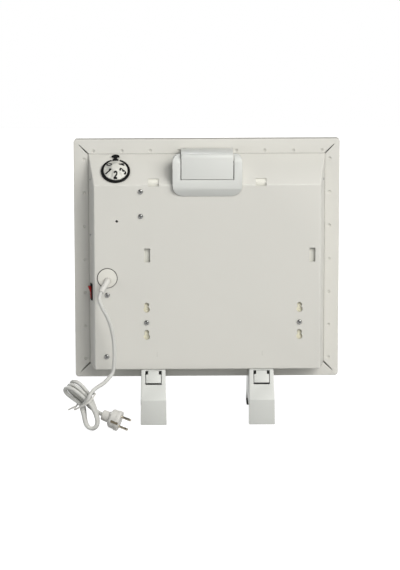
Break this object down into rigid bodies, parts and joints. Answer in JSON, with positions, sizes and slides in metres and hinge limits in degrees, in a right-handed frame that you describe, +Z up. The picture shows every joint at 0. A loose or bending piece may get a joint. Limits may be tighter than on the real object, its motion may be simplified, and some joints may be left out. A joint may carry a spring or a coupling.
{
  "type": "panel convector heater",
  "caption": "Flat panel convector heater on two clip-on feet, with a thermostat dial, rocker switch, folding carry handle and a tied mains cord with plug.",
  "frame": {"origin": "on the floor, under the middle of the heater without its cord", "axes": "+Z up, -Y out of the back with the dial and handle, +Y out of the heated front, +X to the right seen from behind"},
  "size_m": [0.5099, 0.2449, 0.52],
  "materials": {
    "white_enamel": "smooth white powder coat, satin",
    "white_plastic": "fine matt moulded white",
    "black_plastic": "satin black",
    "black_rubber": "matt black",
    "red_plastic": "glossy red",
    "cream_steel": "cream coated sheet",
    "zinc_steel": "zinc plated",
    "dark_steel": "dark zinc plated",
    "aluminium": "raw extruded",
    "nickel": "nickel plated brass",
    "brass": "plain",
    "white_cord": "smooth pale grey white sheath",
    "ceramic": "plain glazed",
    "brown_wire": "smooth insulation",
    "blue_wire": "smooth insulation",
    "earth_wire": "smooth insulation"
  },
  "bodies": {
    "heater": {"front_panel": "white_enamel", "back_cover": "white_enamel", "hanger_channel_left": "cream_steel", "hanger_channel_right": "cream_steel", "heat_shield": "cream_steel", "heating_element": "aluminium", "element_rod": "zinc_steel", "element_bracket_left": "zinc_steel", "element_bracket_right": "zinc_steel", "cutout_bracket": "zinc_steel", "overheat_cutout": "ceramic", "thermostat_body": "black_plastic", "thermostat_screws_1": "zinc_steel", "thermostat_screws_2": "zinc_steel", "dial_ring": "black_plastic", "dial_index": "black_plastic", "switch_housing": "black_plastic", "handle_base": "white_plastic", "handle_pin": "zinc_steel", "handle_screws_1": "zinc_steel", "handle_screws_2": "zinc_steel", "foot_left": "white_plastic", "foot_right": "white_plastic", "foot_pad_left": "black_rubber", "foot_pad_right": "black_rubber", "earth_tag": "brass", "cable_plate": "white_plastic", "strain_relief": "white_plastic", "cable_clamp": "black_plastic", "cord_inside": "white_cord", "terminal_block": "ceramic", "wire_block_to_switch": "brown_wire", "wire_switch_to_thermostat": "brown_wire", "wire_thermostat_to_cutout": "brown_wire", "wire_cutout_to_element": "brown_wire", "wire_block_to_element": "blue_wire", "wire_earth": "earth_wire", "mains_cord": "white_cord", "cord_hank": "white_cord", "cord_tail": "white_cord", "cord_tie": "white_plastic", "plug_body": "white_plastic", "plug_pin_left": "nickel", "plug_pin_right": "nickel", "plug_earth_clip": "nickel", "cover_screws_1": "dark_steel", "cover_screws_2": "dark_steel", "cover_screws_3": "dark_steel", "cover_screws_4": "dark_steel", "cover_screws_5": "dark_steel", "cover_screws_6": "dark_steel", "side_screws_1": "zinc_steel", "side_screws_2": "zinc_steel", "side_screws_3": "zinc_steel"},
    "dial": {"thermostat_dial": "white_plastic", "thermostat_shaft": "zinc_steel"},
    "rocker": {"switch_rocker": "red_plastic"},
    "bail": {"handle_bail": "white_plastic"},
    "latch_left": {"foot_latch_left": "white_plastic"},
    "latch_right": {"foot_latch_right": "white_plastic"}
  },
  "joints": [
    {"name": "dial_turn", "type": "hinge", "parent": "heater", "child": "dial", "pos_m": [-0.1675, -0.03127, 0.46541], "axis": [0, -0.6575, 0.7534], "range_deg": [-130, 130]},
    {"name": "rocker_press", "type": "hinge", "parent": "heater", "child": "rocker", "pos_m": [-0.2127, -0.0275, 0.2397], "axis": [-0.1789, 0.9839, 0], "range_deg": [0, 24]},
    {"name": "handle_swing", "type": "hinge", "parent": "heater", "child": "bail", "pos_m": [0, -0.046, 0.485], "axis": [-1, 0, 0], "range_deg": [0, 170]},
    {"name": "latch_left_press", "type": "hinge", "parent": "heater", "child": "latch_left", "pos_m": [-0.1, -0.053, 0.09363], "axis": [1, 0, 0], "range_deg": [0, 7], "stiffness_Nm_per_rad": 0.5},
    {"name": "latch_right_press", "type": "hinge", "parent": "heater", "child": "latch_right", "pos_m": [0.1, -0.053, 0.09363], "axis": [1, 0, 0], "range_deg": [0, 7], "stiffness_Nm_per_rad": 0.5}
  ]
}
